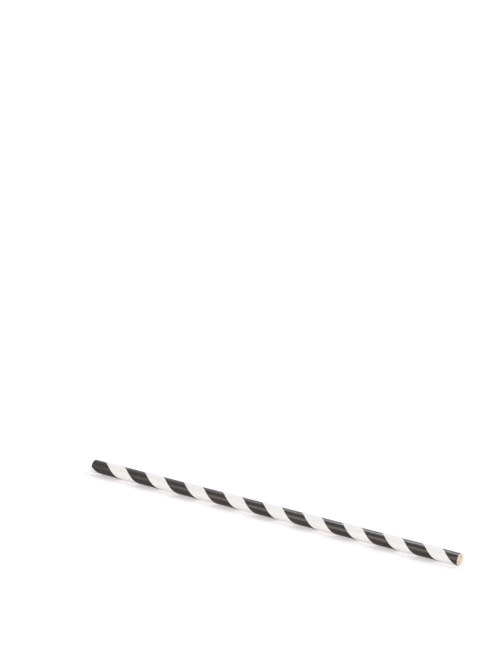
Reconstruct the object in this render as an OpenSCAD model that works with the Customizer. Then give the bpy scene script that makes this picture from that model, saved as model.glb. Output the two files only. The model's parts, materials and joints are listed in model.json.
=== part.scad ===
// Striped paper drinking straw, lying on its side along X.
// Three plies of paper tape are wound round a mandrel as a right-hand screw, glued, and cut square.
// The outer tape carries one printed stripe, so its winding draws the spiral.
// Millimetres. The straw lies on z = 0 with its middle over the origin.

/* [Straw] */

// Length from cut end to cut end
straw_l = 197; // [60:1:250]
// Outside diameter
straw_d = 6; // [5:0.1:12]
// Width of the flat, pressed into the outer ply, that the straw lies on
flat_w = 1.2; // [0.4:0.1:1.4]

/* [Paper] */

// Thickness of the inner ply, the tape that lines the bore
inner_ply_t = 0.14; // [0.08:0.01:0.3]
// Thickness of the middle ply
middle_ply_t = 0.14; // [0.08:0.01:0.3]
// Thickness of the printed outer ply
outer_ply_t = 0.12; // [0.12:0.01:0.2]

/* [Winding] */

// Length of straw that one turn of the tapes covers
turn_l = 21.4; // [15:0.1:40]
// Width of the seam between turns of the outer tape, along the straw
outer_seam_w = 0.35; // [0.15:0.05:1]
// Depth of the outer seam, between the rounded edges of the tape
outer_seam_t = 0.08; // [0.04:0.01:0.1]
// Width of the gap between turns of the inner tape, along the straw
inner_seam_w = 0.5; // [0.15:0.05:1]
// Turn from the outer seam to the inner seam, in degrees
inner_seam_lag = 200; // [30:5:330]

/* [Print] */

// Share of the outer tape's width that is printed black
black_share = 0.51; // [0.2:0.01:0.8]
// Turn of the seam at the left end, from the back upwards, in degrees. The black print starts there.
seam_start = 341; // [0:1:359]

/* [Colours] */

// Printed stripe
ink_color = "#3c3a38";
// Bare outer paper
paper_color = "#f1f0ea";
// Bare paper of the middle and inner plies
core_color = "#ead8b4";

/* [Hidden] */

straw_r = straw_d / 2;
outer_ply_r = straw_r - outer_ply_t;
middle_ply_r = outer_ply_r - middle_ply_t;
bore_r = middle_ply_r - inner_ply_t;
axis_z = sqrt(straw_r * straw_r - flat_w * flat_w / 4);
past = 0.5;
wound_l = straw_l + 2 * past;
steps_per_turn = 20;
$fn = 96;

// Angle through which the winding turns over a length of straw
function turn_of(l) = 360 * l / turn_l;

function polar(r, a) = r * [cos(a), sin(a)];

// Tube between two radii, over the straw's length
module tube(inner_r, outer_r) {
  difference() {
    cylinder(r = outer_r, h = straw_l);
    translate([0, 0, -past]) cylinder(r = inner_r, h = wound_l);
  }
}

// Winds a section round the axis as a right-hand screw, from just before the straw to just past it
module wound() {
  translate([0, 0, -past])
    rotate(-turn_of(past))
      linear_extrude(height = wound_l, twist = -turn_of(wound_l),
          slices = ceil(steps_per_turn * wound_l / turn_l), segments = 1)
        children();
}

// Sector of the straw's section between two angles. Its sides are true, and its rim lies clear of the straw.
// A side on the seam slopes back over the seam's depth, by the given angle.
module sector(from, to, seam_at_from = 0, seam_at_to = 0) {
  side_r = 1.02 * straw_r;
  rim_steps = ceil((to - from) / 60);
  polygon(concat(
    [[0, 0]],
    seam_at_from > 0 ? [polar(straw_r - outer_seam_t, from)] : [],
    [polar(side_r, from + seam_at_from)],
    [for (i = [1 : 1 : rim_steps - 1]) polar(2 * straw_r, from + (to - from) * i / rim_steps)],
    [polar(side_r, to - seam_at_to)],
    seam_at_to > 0 ? [polar(straw_r - outer_seam_t, to)] : []
  ));
}

// Outer ply, with the flat that the straw lies on
module outer_ply() {
  difference() {
    tube(outer_ply_r, straw_r);
    translate([-straw_r, -axis_z - straw_r, -past]) cube([straw_d, straw_r, wound_l]);
  }
}

// Inner ply, with the gap between the turns of its tape open to the bore
module inner_ply() {
  gap_at = seam_start + inner_seam_lag;
  difference() {
    tube(bore_r, middle_ply_r);
    wound() sector(gap_at, gap_at + turn_of(inner_seam_w));
  }
}

module straw() {
  black_end = seam_start + 360 * black_share;
  seam_side = turn_of(outer_seam_w) / 2;
  translate([-straw_l / 2, 0, axis_z])
    rotate([90, 0, 90]) {
      color(core_color) {
        inner_ply();
        tube(middle_ply_r, outer_ply_r);
      }
      color(ink_color)
        intersection() {
          outer_ply();
          wound() sector(seam_start, black_end, seam_at_from = seam_side);
        }
      color(paper_color)
        intersection() {
          outer_ply();
          wound() sector(black_end, seam_start + 360, seam_at_to = seam_side);
        }
    }
}

straw();
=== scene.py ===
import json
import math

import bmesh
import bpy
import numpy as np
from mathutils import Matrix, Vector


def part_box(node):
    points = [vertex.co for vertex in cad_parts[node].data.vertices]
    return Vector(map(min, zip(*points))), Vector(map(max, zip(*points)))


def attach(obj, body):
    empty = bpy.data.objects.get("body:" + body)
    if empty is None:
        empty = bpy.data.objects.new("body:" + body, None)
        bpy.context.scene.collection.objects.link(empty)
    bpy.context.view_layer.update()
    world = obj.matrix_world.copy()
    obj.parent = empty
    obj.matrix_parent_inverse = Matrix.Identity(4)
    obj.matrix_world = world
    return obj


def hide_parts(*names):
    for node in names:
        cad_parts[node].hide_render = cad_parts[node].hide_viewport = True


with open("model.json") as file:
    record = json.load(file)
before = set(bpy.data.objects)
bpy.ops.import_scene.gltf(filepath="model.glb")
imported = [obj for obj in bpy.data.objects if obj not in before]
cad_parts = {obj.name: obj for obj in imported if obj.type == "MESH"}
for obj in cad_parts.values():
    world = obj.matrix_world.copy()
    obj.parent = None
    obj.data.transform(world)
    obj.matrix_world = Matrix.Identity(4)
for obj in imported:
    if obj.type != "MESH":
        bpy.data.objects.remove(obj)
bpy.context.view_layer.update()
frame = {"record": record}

# %% [markdown]
# # A striped paper drinking straw
#
# The straw is a tube of paper, 197 mm long and 6 mm across. Tapes of paper are glued and wound
# round a steel rod as a screw, layer on layer, and the tube is sawn to length. The outer tape is
# white with one black stripe along it, so the winding itself draws the spiral.
#
# The measured frame already holds the straw as one solid. This lesson dresses it: it makes the
# printed outer ply and the bare plies under it as fine meshes, gives them paper and ink made of
# nodes, and lights them. Every length is in metres.

MM = 0.001
straw_low, straw_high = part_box("straw")
straw_l = straw_high.x - straw_low.x
straw_r = (straw_high.y - straw_low.y) / 2
axis_z = straw_high.z - straw_r
print(f"straw {straw_l / MM:.1f} mm long, {2 * straw_r / MM:.2f} mm across")
print(f"its axis lies {axis_z / MM:.2f} mm above the floor")

# %% [markdown]
# ## The camera
#
# The object was photographed from far away with a long lens, a little from above, with its right
# end nearer. A long lens keeps the straw's two ends at nearly the same size. The camera is placed
# by what a photographer would set: the point on the floor that it looks at, how far off it stands,
# how far round the straw it has walked, and how steeply it looks down.

# %% Set the camera
CAMERA_AIM = Vector((-0.1257, 0.1851, 0))
CAMERA_DISTANCE = 3.4549
CAMERA_ROUND = math.radians(31.24)
CAMERA_DOWN = math.radians(23.58)
LENS_MM = 390
SENSOR_MM = 36
NEAREST_SEEN = 0.05
FARTHEST_SEEN = 50

toward_camera = Vector((
    math.sin(CAMERA_ROUND) * math.cos(CAMERA_DOWN),
    -math.cos(CAMERA_ROUND) * math.cos(CAMERA_DOWN),
    math.sin(CAMERA_DOWN),
))
camera_data = bpy.data.cameras.new("studio_camera")
camera_data.lens = LENS_MM
camera_data.sensor_width = SENSOR_MM
camera_data.clip_start = NEAREST_SEEN
camera_data.clip_end = FARTHEST_SEEN
camera = bpy.data.objects.new("studio_camera", camera_data)
camera.location = CAMERA_AIM + toward_camera * CAMERA_DISTANCE
camera.rotation_mode = "QUATERNION"
camera.rotation_quaternion = (-toward_camera).to_track_quat("-Z", "Y")
bpy.context.scene.collection.objects.link(camera)
bpy.context.scene.camera = camera
print("camera at", [round(v, 3) for v in camera.location])

# %% [markdown]
# ## How a tape lies on the tube
#
# Unroll the tube and it is a flat sheet, on which every tape is a straight strip that leans. Two
# numbers place any spot on it: how many turns the winding has made, and how far across the tape
# the spot is. Both the shapes and the print below are written in these two numbers, so they can't
# drift apart. A seam is where one turn of a tape meets the next.

# %% The winding
FULL_TURN = 2 * math.pi
TURN_L = 21.4 * MM  # length of straw that one turn covers
SEAM_START = math.radians(341)  # turn of the outer seam at the left end, from the back upwards
around = FULL_TURN * straw_r
per_turn = math.hypot(around, TURN_L)  # length of tape in one turn
tape_w = around * TURN_L / per_turn
tape_lean = math.degrees(math.atan2(around, TURN_L))
print(f"tape {tape_w / MM:.1f} mm wide, wound at {tape_lean:.0f} degrees to the straw")


def place_along(turn, across, start):
    """Place along the straw's axis of a spot on a tape whose seam starts at that turn."""
    return -straw_l / 2 + TURN_L * (across + turn - start / FULL_TURN)


# %% [markdown]
# ## Uneven paper
#
# Glued paper never lies dead smooth. It swells a little over some fibres and draws in over others,
# by about a hundredth of a millimetre, and a highlight along the straw shows it at once. A sum of
# a few dozen waves makes such a surface. Each wave fits a whole number of times round the tube, so
# it closes on itself, and a fixed seed gives the same straw each time.

# %% Waves in the glued paper
WAVES = 46
WAVE_SEED = 6
MOST_AROUND = 8  # times that a wave may fit round the tube
SHORTEST_WAVE = 4 * MM  # along the straw
SWELL = 0.008 * MM
rng = np.random.default_rng(WAVE_SEED)
wave_around = rng.integers(0, MOST_AROUND + 1, WAVES)
wave_along = rng.uniform(-1, 1, WAVES) * FULL_TURN / SHORTEST_WAVE
wave_start = rng.uniform(0, FULL_TURN, WAVES)


def swell(angle, x):
    """How far the glued surface stands out from its true radius, or in where it is negative."""
    waves = zip(wave_around, wave_along, wave_start)
    total = sum(np.cos(k * angle + m * x + p) for k, m, p in waves)
    return SWELL * total / math.sqrt(WAVES / 2)


# %% [markdown]
# ## Winding a skin, and sawing it to length
#
# Each surface of the tube is one skin: a grid whose rows run along the tape and whose columns go
# across it. A Screw modifier could wind such a strip too, but mesh code also keeps the tape's own
# lengths as a UV map, for the print to follow. The skin is wound too long at both ends and then
# cut with bisect, as the saw cuts the real one, so the ends are truly square to the axis.

# %% Where a spot is round the tube, and on its tape
TAPE_MAP = "tape"


def angle_of(vert):
    """Turn of a vertex round the axis, from the back upwards."""
    return math.atan2(vert.co.z - axis_z, vert.co.y) % FULL_TURN


def tape_lengths(turn, across, outward=1):
    """How far along the tape a spot is, and how far across it, in metres."""
    along = turn * per_turn + across * TURN_L ** 2 / per_turn
    return along, outward * across * tape_w


# %% A function that saws a skin to length
CUT_REACH = 1e-7  # a point this near to the cut counts as on it


def sawn_rims(bm, old):
    """Saws off what is new in bm at both ends and returns the two rims, in order of turn."""
    for side in (-1, 1):
        new = [v for v in bm.verts if v not in old]
        edges = {e for v in new for e in v.link_edges}
        faces = {f for v in new for f in v.link_faces}
        bmesh.ops.bisect_plane(
            bm, geom=[*new, *edges, *faces], dist=CUT_REACH, clear_outer=True,
            plane_co=(side * straw_l / 2, 0, 0), plane_no=(side, 0, 0),
        )
    open_ends = {v for e in bm.edges if e.is_boundary for v in e.verts} - old
    return {
        side: sorted((v for v in open_ends if v.co.x * side > 0), key=angle_of)
        for side in (-1, 1)
    }


# %% A function that winds a skin
COLUMNS = 132  # columns in each turn
SPARE_TURNS = 0.15  # wound past each end, for the saw to take off
SHOWN, HIDDEN, SAWN = range(3)  # the finishes of a face, in the order of a piece's materials


def wound_skin(bm, rows, depth, radius, start, outward, finish):
    """Winds a skin into bm, saws its ends and returns its two rims.

    rows are places across the tape, from 0 to 1. depth is how far each lies in the paper, start is
    the seam's turn at the left end, and outward is 1 for an outer skin and -1 for an inner one.
    """
    old = set(bm.verts)
    tape = bm.loops.layers.uv[TAPE_MAP]
    first = math.floor((start / FULL_TURN - 1 - SPARE_TURNS) * COLUMNS)
    last = math.ceil((start / FULL_TURN + straw_l / TURN_L + SPARE_TURNS) * COLUMNS)
    turn = np.arange(first, last + 1) / COLUMNS
    angle = FULL_TURN * turn
    grid = np.full((len(rows), len(turn)), None, object)
    for i, (across, dip) in enumerate(zip(rows, depth)):
        if i == len(rows) - 1:
            grid[i, :-COLUMNS] = grid[0, COLUMNS:]  # the last row is the next turn's first
        x = place_along(turn, across, start)
        r = radius - outward * dip + swell(angle, x)
        y, z = r * np.cos(angle), np.maximum(axis_z + r * np.sin(angle), 0)
        for j in range(len(turn)):
            if grid[i, j] is None:
                grid[i, j] = bm.verts.new((x[j], y[j], z[j]))
    for i in range(len(rows) - 1):
        for j in range(len(turn) - 1):
            corners = [(i, j), (i + 1, j), (i + 1, j + 1), (i, j + 1)][::-outward]
            face = bm.faces.new([grid[at] for at in corners])
            face.material_index = finish
            for loop, (a, b) in zip(face.loops, corners):
                loop[tape].uv = tape_lengths(turn[b], rows[a], outward)
    return sawn_rims(bm, old)


# %% [markdown]
# The saw leaves two open rims on each skin. A strip of triangles closes the gap from the outer
# skin's rim to the inner skin's: both are in order of their turn round the axis, and the strip
# steps along whichever is behind. A ring set a little deeper between them draws the glue line
# where two plies meet.

# %% Functions that make a sawn ring ragged
RING_POINTS = 240
RAGGED = 0.012 * MM  # roughness of the sawn edges


def roughen(ring, side, inset):
    """Draws a sawn ring in by inset, and unevenly, as the blade leaves paper."""
    for vert in ring:
        vert.co.x -= side * (inset + RAGGED * rng.random())


def cut_ring(bm, side, radius, inset):
    """A ring of new points in a sawn end, set in by inset."""
    points = []
    for k in range(RING_POINTS):
        angle = FULL_TURN * k / RING_POINTS
        z = max(axis_z + radius * math.sin(angle), 0)
        points.append(bm.verts.new((side * straw_l / 2, radius * math.cos(angle), z)))
    roughen(points, side, inset)
    return points


# %% A function that closes the gap between two rings
def one_lap(ring):
    """The points of a ring with their turns, and the first once more, a full turn on."""
    lap = [(vert, angle_of(vert)) for vert in ring]
    return lap + [(ring[0], angle_of(ring[0]) + FULL_TURN)]


def stitch(bm, outer, inner, side):
    """Joins two rings with a strip of triangles that faces out of the straw's end."""
    tape = bm.loops.layers.uv[TAPE_MAP]
    outer_lap, inner_lap = one_lap(outer), one_lap(inner)
    i = j = 0
    while i < len(outer) or j < len(inner):
        here, there = outer_lap[i], inner_lap[j]
        if j == len(inner) or (i < len(outer) and outer_lap[i + 1][1] < inner_lap[j + 1][1]):
            i += 1
            corners = [here, outer_lap[i], there]
        else:
            j += 1
            corners = [here, inner_lap[j], there]
        face = bm.faces.new([vert for vert, angle in corners][::side])
        face.material_index = SAWN
        for loop, (vert, angle) in zip(face.loops, corners[::side]):
            loop[tape].uv = (angle * straw_r, math.hypot(vert.co.y, vert.co.z - axis_z))


# %% [markdown]
# The blade breaks the printed edge, so a hair of the ink shows round the sawn rim. That hair is a
# strip of its own, just inside the rim. It wears the printed finish, and its place on the tape runs
# on past the end, so the black stripe turns over the edge and stops there.

# %% A function that turns the print over a sawn edge
EDGE_W = 0.025 * MM  # width of the broken edge


def broken_edge(bm, rim, side, start):
    """Adds a narrow strip inside a rim and returns its inner ring."""
    tape = bm.loops.layers.uv[TAPE_MAP]
    inner = []
    for vert in rim:
        angle = angle_of(vert)
        x = side * (straw_l / 2 - RAGGED * rng.random())
        y = vert.co.y - EDGE_W * math.cos(angle)
        z = vert.co.z - EDGE_W * math.sin(angle)
        inner.append(bm.verts.new((x, y, max(z, 0))))
    lap = [angle for vert, angle in one_lap(rim)]
    cut_at = (side + 1) / 2 * straw_l / TURN_L + start / FULL_TURN  # the end, in turns of the seam
    ends = [cut_at + side * past / TURN_L for past in (0, EDGE_W)]
    for near in range(len(rim)):
        far = (near + 1) % len(rim)
        turns = math.floor(ends[0] - (lap[near] + lap[near + 1]) / 2 / FULL_TURN)
        corners = [
            (rim[near], lap[near], ends[0]),
            (inner[near], lap[near], ends[1]),
            (inner[far], lap[near + 1], ends[1]),
            (rim[far], lap[near + 1], ends[0]),
        ][::-side]
        face = bm.faces.new([vert for vert, angle, end in corners])
        face.material_index = SHOWN
        for loop, (vert, angle, end) in zip(face.loops, corners):
            turn = angle / FULL_TURN + turns
            loop[tape].uv = tape_lengths(turn, end - turn)
    return inner


# %% [markdown]
# ## From skins to a piece
#
# A piece's faces wear one of three finishes: paper that shows, paper that the next ply hides, and
# sawn paper. The export bakes each piece into one square picture, so a second UV map lays the long
# tape out in a few lengths, one under the other, which fills that square well and keeps the
# stripe's edges straight on its pixels.

# %% A function that lays a piece out for the bake
BAKE_LENGTHS = 4  # lengths of tape in the baked picture
BAKE_GAP = 0.15 * MM  # between one length and the next
HIDDEN_SQUEEZE = 0.02  # the hidden paper's width in the picture, as a share of its own
SAWN_STRETCH = 1.5  # the sawn paper's


def lay_out_for_bake(mesh, finish):
    """Makes the map OFBake: shown paper in lengths, hidden paper under it, then the ends."""
    uv = np.empty(len(mesh.loops) * 2, np.float32)
    mesh.uv_layers[TAPE_MAP].uv.foreach_get("vector", uv)
    uv = uv.reshape(-1, 2).astype(float)
    corners = np.empty(len(mesh.polygons), int)
    mesh.polygons.foreach_get("loop_total", corners)
    face = np.repeat(np.arange(len(corners)), corners)
    along = np.bincount(face, uv[:, 0]) / corners  # each face's middle, along the tape
    end = np.sign(np.array([polygon.center.x for polygon in mesh.polygons]))
    groups = [
        (finish == SHOWN, BAKE_LENGTHS, 1.0),
        (finish == HIDDEN, BAKE_LENGTHS, HIDDEN_SQUEEZE),
        ((finish == SAWN) & (end == -1), 1, SAWN_STRETCH),
        ((finish == SAWN) & (end == 1), 1, SAWN_STRETCH),
    ]
    length = np.ptp(uv[(finish == SHOWN)[face]][:, 0]) / BAKE_LENGTHS
    laid = np.zeros_like(uv)
    top = 0.0
    for mask, lengths, squeeze in groups:
        mine = mask[face]
        low = uv[mine].min(0)
        height = np.ptp(uv[mine][:, 1]) * squeeze
        row = 0
        if lengths > 1:
            row = np.clip((along - low[0]) // length, 0, lengths - 1)[face][mine]
        laid[mine, 0] = uv[mine, 0] - low[0] - row * length
        laid[mine, 1] = (uv[mine, 1] - low[1]) * squeeze + top + row * (height + BAKE_GAP)
        top += lengths * (height + BAKE_GAP)
    laid = (laid - laid.min(0)) / np.ptp(laid, axis=0)
    bake_map = mesh.uv_layers.new(name="OFBake", do_init=False)
    bake_map.uv.foreach_set("vector", laid.astype(np.float32).ravel())


# %% Functions that start and finish a piece
SHARP_FROM = math.radians(45)  # an edge that turns by more stays sharp


def new_piece():
    """An empty mesh that holds the tape's own lengths as a UV map."""
    bm = bmesh.new()
    bm.loops.layers.uv.new(TAPE_MAP)
    return bm


def finished_piece(name, bm):
    """Turns bm into an object, with its map for the bake."""
    mesh = bpy.data.meshes.new(name)
    bm.to_mesh(mesh)
    bm.free()
    finish = np.empty(len(mesh.polygons), np.int32)
    mesh.polygons.foreach_get("material_index", finish)
    mesh.shade_smooth()
    mesh.set_sharp_from_angle(angle=SHARP_FROM)
    lay_out_for_bake(mesh, finish)
    obj = bpy.data.objects.new(name, mesh)
    bpy.context.scene.collection.objects.link(obj)
    labels = {"shown": SHOWN, "hidden": HIDDEN, "sawn": SAWN}
    print(name, {label: int((finish == k).sum()) for label, k in labels.items()}, "faces")
    return obj


# %% [markdown]
# ## The printed outer ply
#
# This tape carries the print. Where its turns meet, the rollers round the cut edges down, which
# leaves a fine valley, the seam. A flat 1.2 mm wide runs along the bottom, where the soft tube
# rests. The ply is a thin tube: one skin outside with the seam in it, and one inside, which is
# glued to the plies below. A plain cylinder with the seam as bump would be quicker, but then
# neither the outline nor the mesh would have it.

# %% Rows across the printed tape, and how deep each lies
OUTER_SEAM_W = 0.35 * MM  # along the straw
OUTER_SEAM_T = 0.08 * MM
SEAM_ROUNDING = 1.25  # 1 would be a plain V
SEAM_STEPS = (0, 0.15, 0.35, 0.6, 0.85, 1, 1.3, 2)  # rows beside the seam, in half widths of it
PRINT_ROWS = 28  # rows over the rest of the tape
SHOW_THROUGH_T = 0.006 * MM  # how far the next ply's seam shows through
SHOW_THROUGH_W = 0.5 * MM
SHOW_THROUGH_AT = 0.27  # place across this tape of the next ply's seam

beside_seam = np.array(SEAM_STEPS) * OUTER_SEAM_W / 2 / TURN_L
print_rows = np.linspace(beside_seam[-1], 1 - beside_seam[-1], PRINT_ROWS + 2)[1:-1]
outer_rows = np.concatenate([beside_seam, print_rows, 1 - beside_seam[::-1]])
from_seam = np.minimum(outer_rows, 1 - outer_rows) * TURN_L / (OUTER_SEAM_W / 2)
from_next = (outer_rows - SHOW_THROUGH_AT) * TURN_L / SHOW_THROUGH_W
outer_depth = OUTER_SEAM_T * np.clip(1 - from_seam, 0, 1) ** SEAM_ROUNDING
outer_depth += SHOW_THROUGH_T * np.exp(-from_next ** 2)
print(f"{len(outer_rows)} rows, the deepest {outer_depth.max() / MM:.3f} mm down")

# %% Make the printed outer ply
OUTER_PLY_T = 0.12 * MM
SAWN_BACK = 0.015 * MM  # how far the saw draws the printed edge in
GLUED_ROWS = 9  # rows across a skin that the next ply hides
outer_ply_r = straw_r - OUTER_PLY_T
glued_rows = np.linspace(0, 1, GLUED_ROWS)
level = np.zeros_like(glued_rows)

bm = new_piece()
outside = wound_skin(bm, outer_rows, outer_depth, straw_r, SEAM_START, 1, SHOWN)
inside = wound_skin(bm, glued_rows, level, outer_ply_r, SEAM_START, -1, HIDDEN)
for side in (-1, 1):
    roughen(outside[side], side, SAWN_BACK)
    crest = broken_edge(bm, outside[side], side, SEAM_START)
    stitch(bm, crest, inside[side], side)
outer_ply = finished_piece("printed_outer_ply", bm)

# %% [markdown]
# ## The bare plies inside
#
# Two more tapes lie under the printed one. They are bare cream paper, and they show at the sawn
# ends and in the bore. The innermost tape is wound with a small gap between its turns, which is
# open to the bore and ends as a notch in the rim. Both are glued into one wall, so they are one
# piece, with a fine groove in the sawn end where they meet.

# %% Rows across the innermost tape, with the gap between its turns
INNER_SEAM_W = 0.5 * MM  # along the straw
INNER_SEAM_LAG = math.radians(200)
INNER_PLY_T = 0.14 * MM
GAP_SLOPE = 0.03 * MM  # width of each wall of the gap
BORE_ROWS = 20  # rows across the tape, up to the gap
mounts = {mount["name"]: mount for mount in frame["record"]["mounts"]}
bore_r = mounts["bore"]["dims"]["r_mm"] * MM
inner_seam = SEAM_START + INNER_SEAM_LAG

gap_from = 1 - INNER_SEAM_W / TURN_L
slope = GAP_SLOPE / TURN_L
gap_rows = [gap_from + slope, 1 - slope, 1]
bore_rows = np.concatenate([np.linspace(0, gap_from, BORE_ROWS), gap_rows])
bore_depth = np.where((bore_rows > gap_from) & (bore_rows < 1), INNER_PLY_T, 0)
print(f"bore {2 * bore_r / MM:.1f} mm across, with a gap {INNER_SEAM_W / MM:.1f} mm wide in it")

# %% Make the bare plies
GLUE_T = 0.002 * MM  # between the printed ply and these
GROOVE_T = 0.03 * MM  # depth of the groove in the sawn end
GROOVE_OUT = 0.018 * MM  # from the innermost ply out to the groove's bottom
SHOULDER_OUT = 0.035 * MM  # and to its outer edge
inner_ply_r = bore_r + INNER_PLY_T

bm = new_piece()
outside = wound_skin(bm, glued_rows, level, outer_ply_r - GLUE_T, SEAM_START, 1, HIDDEN)
inside = wound_skin(bm, bore_rows, bore_depth, bore_r, inner_seam, -1, SHOWN)
for side in (-1, 1):
    shoulder = cut_ring(bm, side, inner_ply_r + SHOULDER_OUT, 0)
    groove = cut_ring(bm, side, inner_ply_r + GROOVE_OUT, GROOVE_T)
    roughen(inside[side], side, 0)
    stitch(bm, outside[side], shoulder, side)
    stitch(bm, shoulder, groove, side)
    stitch(bm, groove, inside[side], side)
inner_plies = finished_piece("bare_inner_plies", bm)

# %% [markdown]
# ## Wiring helpers
#
# A finish is a small network of nodes. These helpers add a node, set it and wire it in one call,
# so that the networks below read from top to bottom. A group gets its named sockets from
# interface.new_socket.

# %% Helpers that add nodes
def add(tree, kind, inputs=None, **settings):
    """Adds a node. inputs maps socket names or numbers to values or to other nodes' outputs."""
    node = tree.nodes.new("ShaderNode" + kind)
    for key, value in settings.items():
        setattr(node, key, value)
    for key, value in (inputs or {}).items():
        if isinstance(value, bpy.types.NodeSocket):
            tree.links.new(value, node.inputs[key])
        else:
            node.inputs[key].default_value = value
    return node


def calc(tree, operation, *values):
    """A Math node's result. values are numbers or outputs."""
    return add(tree, "Math", dict(enumerate(values)), operation=operation).outputs[0]


def scaled(tree, vector, factors):
    """A vector, each of its three numbers times its own factor."""
    return add(tree, "VectorMath", {0: vector, 1: factors}, operation="MULTIPLY").outputs[0]


def ease(tree, value, low, high, to_low=0.0, to_high=1.0):
    """value, eased from one range to another and held at its ends."""
    ranges = {0: value, 1: low, 2: high, 3: to_low, 4: to_high}
    return add(tree, "MapRange", ranges, interpolation_type="SMOOTHSTEP").outputs[0]


# %% Helpers for groups
def new_group(name, inputs, outputs):
    """An empty node group with named number or vector sockets."""
    group = bpy.data.node_groups.new(name, "ShaderNodeTree")
    for socket, kind in inputs:
        group.interface.new_socket(socket, in_out="INPUT", socket_type=f"NodeSocket{kind}")
    for socket in outputs:
        group.interface.new_socket(socket, in_out="OUTPUT", socket_type="NodeSocketFloat")
    start = group.nodes.new("NodeGroupInput")
    end = group.nodes.new("NodeGroupOutput")
    return group, start.outputs, end.inputs


def placed(tree, group, inputs):
    """Places a group in a material and returns its outputs."""
    return add(tree, "Group", inputs, node_tree=group).outputs


# %% [markdown]
# ## Paper, seen close
#
# Paper is a felt of fibres. Most lie along the direction in which the web ran through the mill,
# which is along the tape, so the felt is drawn out that way. At arm's length a second pattern
# shows: the pulp settles in soft clouds a millimetre across, a little darker and lighter. Every
# finish of the straw shows both, so they are one group, which each material places with its own
# strength. It puts out a shade around 1, to multiply a colour by, and a height for bump.

# %% The paper group
FIBRES_PER_MM = (1.4, 9, 9)  # along the tape, across it, and through it
STRAYS_PER_MM = (7, 2.6, 5)  # the few fibres that lie across
CLOUDS_PER_MM = 1.5
FIBRE_PART, STRAY_PART = 0.65, 0.35  # of the felt
FELT_PART, CLOUD_PART = 0.8, 0.2  # of the height

paper_felt, given, result = new_group(
    "paper_felt",
    [("Place", "Vector"), ("Fibre Shade", "Float"), ("Cloud Shade", "Float")],
    ["Shade", "Height"],
)
tree = paper_felt
in_mm = scaled(tree, given["Place"], (1 / MM, 1 / MM, 1 / MM))
fibres = add(tree, "TexNoise", {
    "Vector": scaled(tree, in_mm, FIBRES_PER_MM),
    "Scale": 1, "Detail": 3, "Roughness": 0.6, "Distortion": 0.6,
}).outputs[0]
strays = add(tree, "TexNoise", {
    "Vector": scaled(tree, in_mm, STRAYS_PER_MM),
    "Scale": 1, "Detail": 2, "Roughness": 0.5, "Distortion": 1.2,
}).outputs[0]
clouds = add(tree, "TexNoise", {
    "Vector": in_mm, "Scale": CLOUDS_PER_MM, "Detail": 4, "Roughness": 0.62,
}).outputs[0]
fibre_part = calc(tree, "MULTIPLY", fibres, FIBRE_PART)
felt = calc(tree, "ADD", fibre_part, calc(tree, "MULTIPLY", strays, STRAY_PART))
fibre_shade = calc(tree, "MULTIPLY", calc(tree, "SUBTRACT", felt, 0.5), given["Fibre Shade"])
cloud_shade = calc(tree, "MULTIPLY", calc(tree, "SUBTRACT", clouds, 0.5), given["Cloud Shade"])
shade = calc(tree, "ADD", 1, calc(tree, "ADD", fibre_shade, cloud_shade))
tree.links.new(shade, result["Shade"])
felt_part = calc(tree, "MULTIPLY", felt, FELT_PART)
height = calc(tree, "ADD", felt_part, calc(tree, "MULTIPLY", clouds, CLOUD_PART))
tree.links.new(height, result["Height"])
print("group", paper_felt.name, "with", len(paper_felt.nodes), "nodes")

# %% [markdown]
# ## Printed paper
#
# The tape is printed flat, before it is wound, by a rubber roller with black ink. The ink covers a
# bit more than half of the tape's width, up to the seam. Its free edge is a little unsteady, where
# the ink crept along the fibres, and here and there a fibre stands through it as a pale speck. The
# ink dries to a soft shine, and the bare paper is duller. The roughness of the two sets how a lamp
# is drawn out into a streak along the tube, which is what makes the black look like ink and not
# like black paper.

# %% Helpers for a material
def new_material(name, roughness):
    """A material with one Principled shader. Its constants sit on its own sockets."""
    material = bpy.data.materials.new(name)
    material.use_nodes = True
    shader = material.node_tree.nodes["Principled BSDF"]
    shader.inputs["Roughness"].default_value = roughness
    return material, material.node_tree, shader


def bump_from(tree, height):
    """A normal that leans with a height given in metres."""
    return add(tree, "Bump", {"Strength": 1, "Distance": 1, "Height": height}).outputs[0]


def tape_place(tree):
    """Place on the tape: how far along it, and how far across it, in metres."""
    return add(tree, "UVMap", uv_map=TAPE_MAP).outputs[0]


# %% Values of the print
BLACK_SHARE = 0.51  # share of the tape's width that is black
PAPER_WHITE = (0.865, 0.862, 0.835)
FIBRE_SHADE, CLOUD_SHADE = 0.24, 0.32  # how strongly the paper group shades it
INK_BLACK = (0.0125, 0.007, 0.004)
INK_T = 0.008 * MM
EDGE_CREEP = 0.05 * MM  # how far the free edge wanders
EDGE_SOFT = 0.03 * MM
CREEP_STEPS = (1 / MM, 2 / MM, 0)  # of its noise, along the tape and across it
SPECK_STEPS = (2.2 / MM, 7 / MM, 0)
SPECK_FROM, SPECK_FULL = 0.70, 0.78  # of the noise, where a fibre stands through the ink
SPECK_SHOW = 0.35
INK_ROUGH, INK_ROUGHER = 0.23, 0.12  # roughness of the ink, and what the felt adds to it
PAPER_ROUGH = 0.52
FELT_T = 0.012 * MM  # height of the felt

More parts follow.
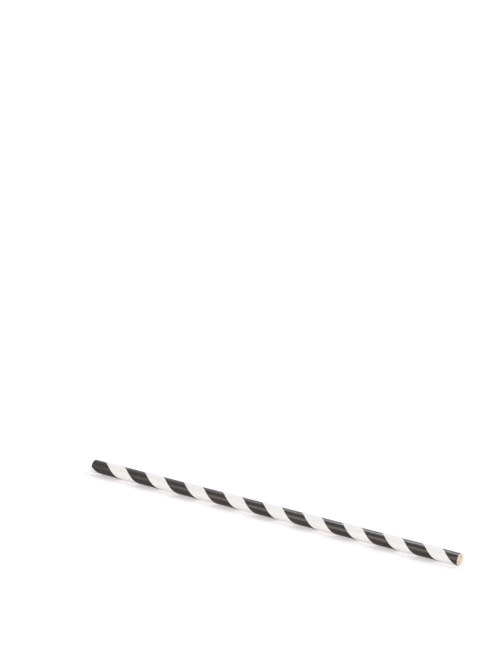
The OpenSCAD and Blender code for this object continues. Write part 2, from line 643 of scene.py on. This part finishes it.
# %% Printed paper
printed_paper, tree, shader = new_material("striped_white_paper", 0.5)
place = tape_place(tree)
across = add(tree, "SeparateXYZ", {0: place}).outputs[1]
strengths = {"Fibre Shade": FIBRE_SHADE, "Cloud Shade": CLOUD_SHADE}
felt = placed(tree, paper_felt, {"Place": place, **strengths})
creep = add(tree, "TexNoise", {
    "Vector": scaled(tree, place, CREEP_STEPS), "Scale": 3, "Detail": 4, "Roughness": 0.65,
}).outputs[0]
wander = calc(tree, "MULTIPLY", calc(tree, "SUBTRACT", creep, 0.5), 2 * EDGE_CREEP)
from_edge = calc(tree, "SUBTRACT", across, (1 - BLACK_SHARE) * tape_w)
stripe = ease(tree, calc(tree, "ADD", from_edge, wander), -EDGE_SOFT, EDGE_SOFT)
specks = add(tree, "TexNoise", {
    "Vector": scaled(tree, place, SPECK_STEPS), "Scale": 1, "Detail": 2, "Roughness": 0.7,
}).outputs[0]
through = ease(tree, specks, SPECK_FROM, SPECK_FULL, 0, SPECK_SHOW)
ink = calc(tree, "MULTIPLY", stripe, calc(tree, "SUBTRACT", 1, through))
colours = {0: ink, 6: (*PAPER_WHITE, 1), 7: (*INK_BLACK, 1)}
print_colour = add(tree, "Mix", colours, data_type="RGBA").outputs[2]
tree.links.new(scaled(tree, print_colour, felt["Shade"]), shader.inputs["Base Color"])

# %% Shine and relief of the print
ink_rough = calc(tree, "ADD", INK_ROUGH, calc(tree, "MULTIPLY", felt["Height"], INK_ROUGHER))
rough = add(tree, "Mix", {0: stripe, 2: PAPER_ROUGH, 3: ink_rough}, data_type="FLOAT").outputs[0]
tree.links.new(rough, shader.inputs["Roughness"])
felt_relief = calc(tree, "MULTIPLY", felt["Height"], FELT_T)
relief = calc(tree, "ADD", felt_relief, calc(tree, "MULTIPLY", stripe, INK_T))
tree.links.new(bump_from(tree, relief), shader.inputs["Normal"])

# %% [markdown]
# ## Bare and sawn paper
#
# The two plies inside are unbleached, so they are cream, and duller than the outer tape. Where the
# saw went through, the fibres stand up as a fine pale nap, so that paper is the roughest. The
# hidden, glued faces get a plain paper too, so that no face of the piece is without one.

# %% A function for paper without print
ROUGH_SPREAD = 0.1  # how much duller or shinier the felt makes it


def plain_paper(name, colour, roughness, fibre, cloud, nap):
    """Paper of one colour, shaded by its fibres, with a nap of that height."""
    material, tree, shader = new_material(name, roughness)
    strengths = {"Fibre Shade": fibre, "Cloud Shade": cloud}
    felt = placed(tree, paper_felt, {"Place": tape_place(tree), **strengths})
    tree.links.new(scaled(tree, colour, felt["Shade"]), shader.inputs["Base Color"])
    rough = ease(tree, felt["Height"], 0, 1, roughness - ROUGH_SPREAD, roughness + ROUGH_SPREAD)
    tree.links.new(rough, shader.inputs["Roughness"])
    height = calc(tree, "MULTIPLY", felt["Height"], nap)
    tree.links.new(bump_from(tree, height), shader.inputs["Normal"])
    return material


# %% Bare paper and sawn paper
PAPER_CREAM = (0.94, 0.845, 0.71)
SAWN_CREAM = (0.87, 0.79, 0.665)
SAWN_WHITE = (0.82, 0.805, 0.76)

bare_paper = plain_paper(
    "bare_cream_paper", PAPER_CREAM, roughness=0.7, fibre=0.16, cloud=0.12, nap=0.02 * MM
)
sawn_core = plain_paper(
    "sawn_cream_paper", SAWN_CREAM, roughness=0.85, fibre=0.28, cloud=0.1, nap=0.03 * MM
)
sawn_outer = plain_paper(
    "sawn_white_paper", SAWN_WHITE, roughness=0.85, fibre=0.24, cloud=0.1, nap=0.03 * MM
)
glued_paper = plain_paper(
    "glued_paper", SAWN_WHITE, roughness=0.8, fibre=0.1, cloud=0.1, nap=0.01 * MM
)

# %% Dress the pieces and fix them to the frame
finishes = [
    (outer_ply, (printed_paper, glued_paper, sawn_outer)),
    (inner_plies, (bare_paper, glued_paper, sawn_core)),
]
for piece, materials in finishes:
    for material in materials:
        piece.data.materials.append(material)
    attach(piece, "root")
    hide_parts("straw")
    print(piece.name, "wears", [material.name for material in materials])

# %% [markdown]
# ## The studio
#
# The straw lies on a white sweep, in a soft sky with four soft lamps. Black ink shows only what it
# mirrors, so two of the lamps stand where the tube mirrors them to the camera. A cool strip behind
# the straw draws the thin line near its top. A warm panel low in front draws the wide soft band
# along its middle. The other two stand where it doesn't mirror them, and light the white paper. One
# stands off the near end and reaches into the bore. A broad one behind the straw throws its soft
# shadow forward.
#
# The background is white because the floor and the sky are white to the camera and to what mirrors
# them, and not because more light falls on the straw. The floor needs only a small lift for that
# close by, where the lamps reach it, and more far off. It still takes the straw's shadow.

# %% White sky
SKY_LIGHT = 0.235
SKY_COLOUR = (0.985, 0.985, 1.0)


def seen_directly(tree):
    """1 for what is seen, straight on, mirrored or refracted. 0 for light on a surface."""
    path = add(tree, "LightPath")
    either = calc(tree, "MAXIMUM", path.outputs["Is Camera Ray"], path.outputs["Is Glossy Ray"])
    return calc(tree, "MAXIMUM", either, path.outputs["Is Transmission Ray"])


world = bpy.data.worlds.new("white_studio")
world.use_nodes = True
bpy.context.scene.world = world
tree = world.node_tree
tree.nodes.clear()
light = add(tree, "Background", {"Color": (*SKY_COLOUR, 1), "Strength": SKY_LIGHT}).outputs[0]
white = add(tree, "Background", {"Color": (1, 1, 1, 1), "Strength": 1}).outputs[0]
sky = add(tree, "MixShader", {0: seen_directly(tree), 1: light, 2: white}).outputs[0]
add(tree, "OutputWorld", {0: sky})
print("sky light", SKY_LIGHT)

# %% White floor
FLOOR_HALF = 6  # half of its side
FLOOR_WHITE = (0.9, 0.875, 0.905)
NEAR_LIFT, FAR_LIFT = 0.26, 0.76
NEAR_BY, FAR_OFF = 0.05, 0.6  # distances from the straw's middle at which those hold

floor_mesh = bpy.data.meshes.new("white_sweep")
bm = bmesh.new()
bmesh.ops.create_grid(bm, x_segments=2, y_segments=2, size=FLOOR_HALF)
bm.to_mesh(floor_mesh)
bm.free()
floor = bpy.data.objects.new("white_sweep", floor_mesh)
bpy.context.scene.collection.objects.link(floor)
floor_material, tree, shader = new_material("white_sweep", 1)
shader.inputs["Base Color"].default_value = (*FLOOR_WHITE, 1)
shader.inputs["Specular IOR Level"].default_value = 0
shader.inputs["Emission Color"].default_value = (1, 1, 1, 1)
spot = add(tree, "TexCoord").outputs["Object"]
from_middle = add(tree, "VectorMath", {0: spot}, operation="LENGTH").outputs["Value"]
lift = ease(tree, from_middle, NEAR_BY, FAR_OFF, NEAR_LIFT, FAR_LIFT)
lift_seen = calc(tree, "MULTIPLY", seen_directly(tree), lift)
tree.links.new(lift_seen, shader.inputs["Emission Strength"])
floor_mesh.materials.append(floor_material)
print("floor lift", NEAR_LIFT, "to", FAR_LIFT)

# %% Four soft lamps
def panel(name, watts, sides, colour, at, long_way=(1, 0, 0)):
    """A soft rectangular lamp that faces the straw, its long side as near as can be to a way."""
    data = bpy.data.lights.new(name, "AREA")
    data.shape = "RECTANGLE"
    data.size, data.size_y = sides
    data.energy, data.color = watts, colour
    back = Vector(at).normalized()
    side = (Vector(long_way) - back * back.dot(Vector(long_way))).normalized()
    lamp = bpy.data.objects.new(name, data)
    lamp.matrix_world = Matrix((side, back.cross(side), back)).transposed().to_4x4()
    lamp.location = at
    bpy.context.scene.collection.objects.link(lamp)
    print(f"lamp {name}, {watts} W, {Vector(at).length:.2f} m off")


panel(
    "cool_strip", watts=1.2, sides=(0.36, 0.08), colour=(0.85, 0.86, 1.0),
    at=(-0.23, 0.295, 0.521), long_way=(0.105, -0.845, 0.525),
)
panel(
    "warm_panel", watts=0.65, sides=(0.18, 0.30), colour=(1.0, 0.92, 0.85),
    at=(-0.185, -0.39, 0.165), long_way=(0.928, -0.329, 0.173),
)
panel(
    "front_panel", watts=5.3, sides=(0.45, 0.45), colour=(1.0, 0.99, 0.97), at=(0.72, -0.64, 0.36)
)
panel("back_panel", watts=11.5, sides=(1.2, 1.2), colour=(0.97, 0.98, 1.0), at=(0.75, 1.0, 0.9))

# %% Show the render in the Standard view transform
bpy.context.scene.view_settings.view_transform = "Standard"
